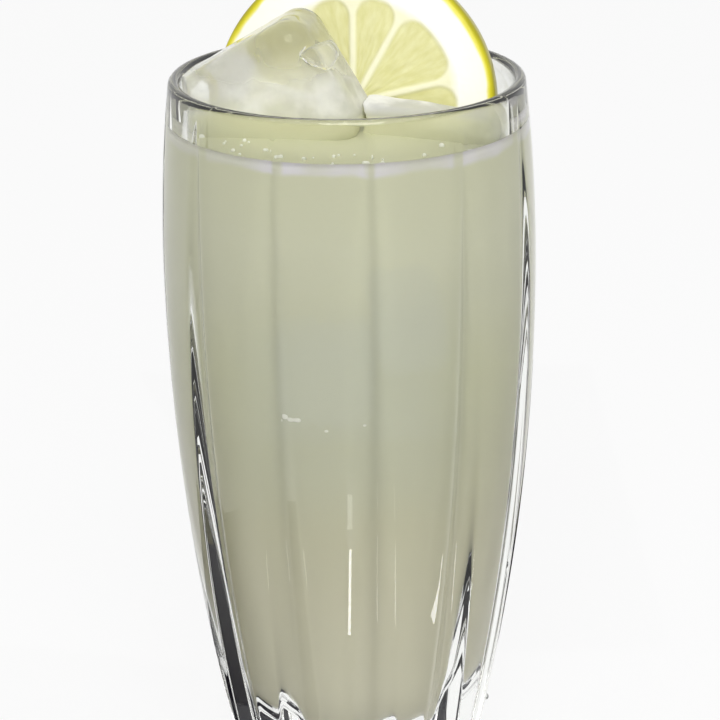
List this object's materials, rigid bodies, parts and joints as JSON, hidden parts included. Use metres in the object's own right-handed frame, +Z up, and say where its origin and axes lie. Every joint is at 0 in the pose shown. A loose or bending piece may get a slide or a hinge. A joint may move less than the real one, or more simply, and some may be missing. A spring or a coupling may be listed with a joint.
{
  "type": "glass of brass monkey cocktail",
  "caption": "Tall fluted barrel glass filled with a cloudy pale drink, with a lemon wheel and clear ice standing out of its mouth.",
  "frame": {"origin": "centre of the foot on the surface that the glass stands on", "axes": "+Z up along the glass's axis; -Y is the front, where the cut face of the lemon wheel looks"},
  "size_m": [0.0768, 0.0768, 0.1817],
  "materials": {
    "clear_glass": "clear pressed glass, fire polished",
    "cloudy_drink": "cloudy pale yellow-green liquid",
    "lemon": "wet cut flesh, white pith and waxy yellow rind",
    "ice": "clear wet ice with white streaks"
  },
  "bodies": {
    "root": {"glass": "clear_glass", "drink": "cloudy_drink", "lemon_slice": "lemon", "ice_cube": "ice", "ice_block": "ice", "ice_chip": "ice"}
  },
  "joints": []
}
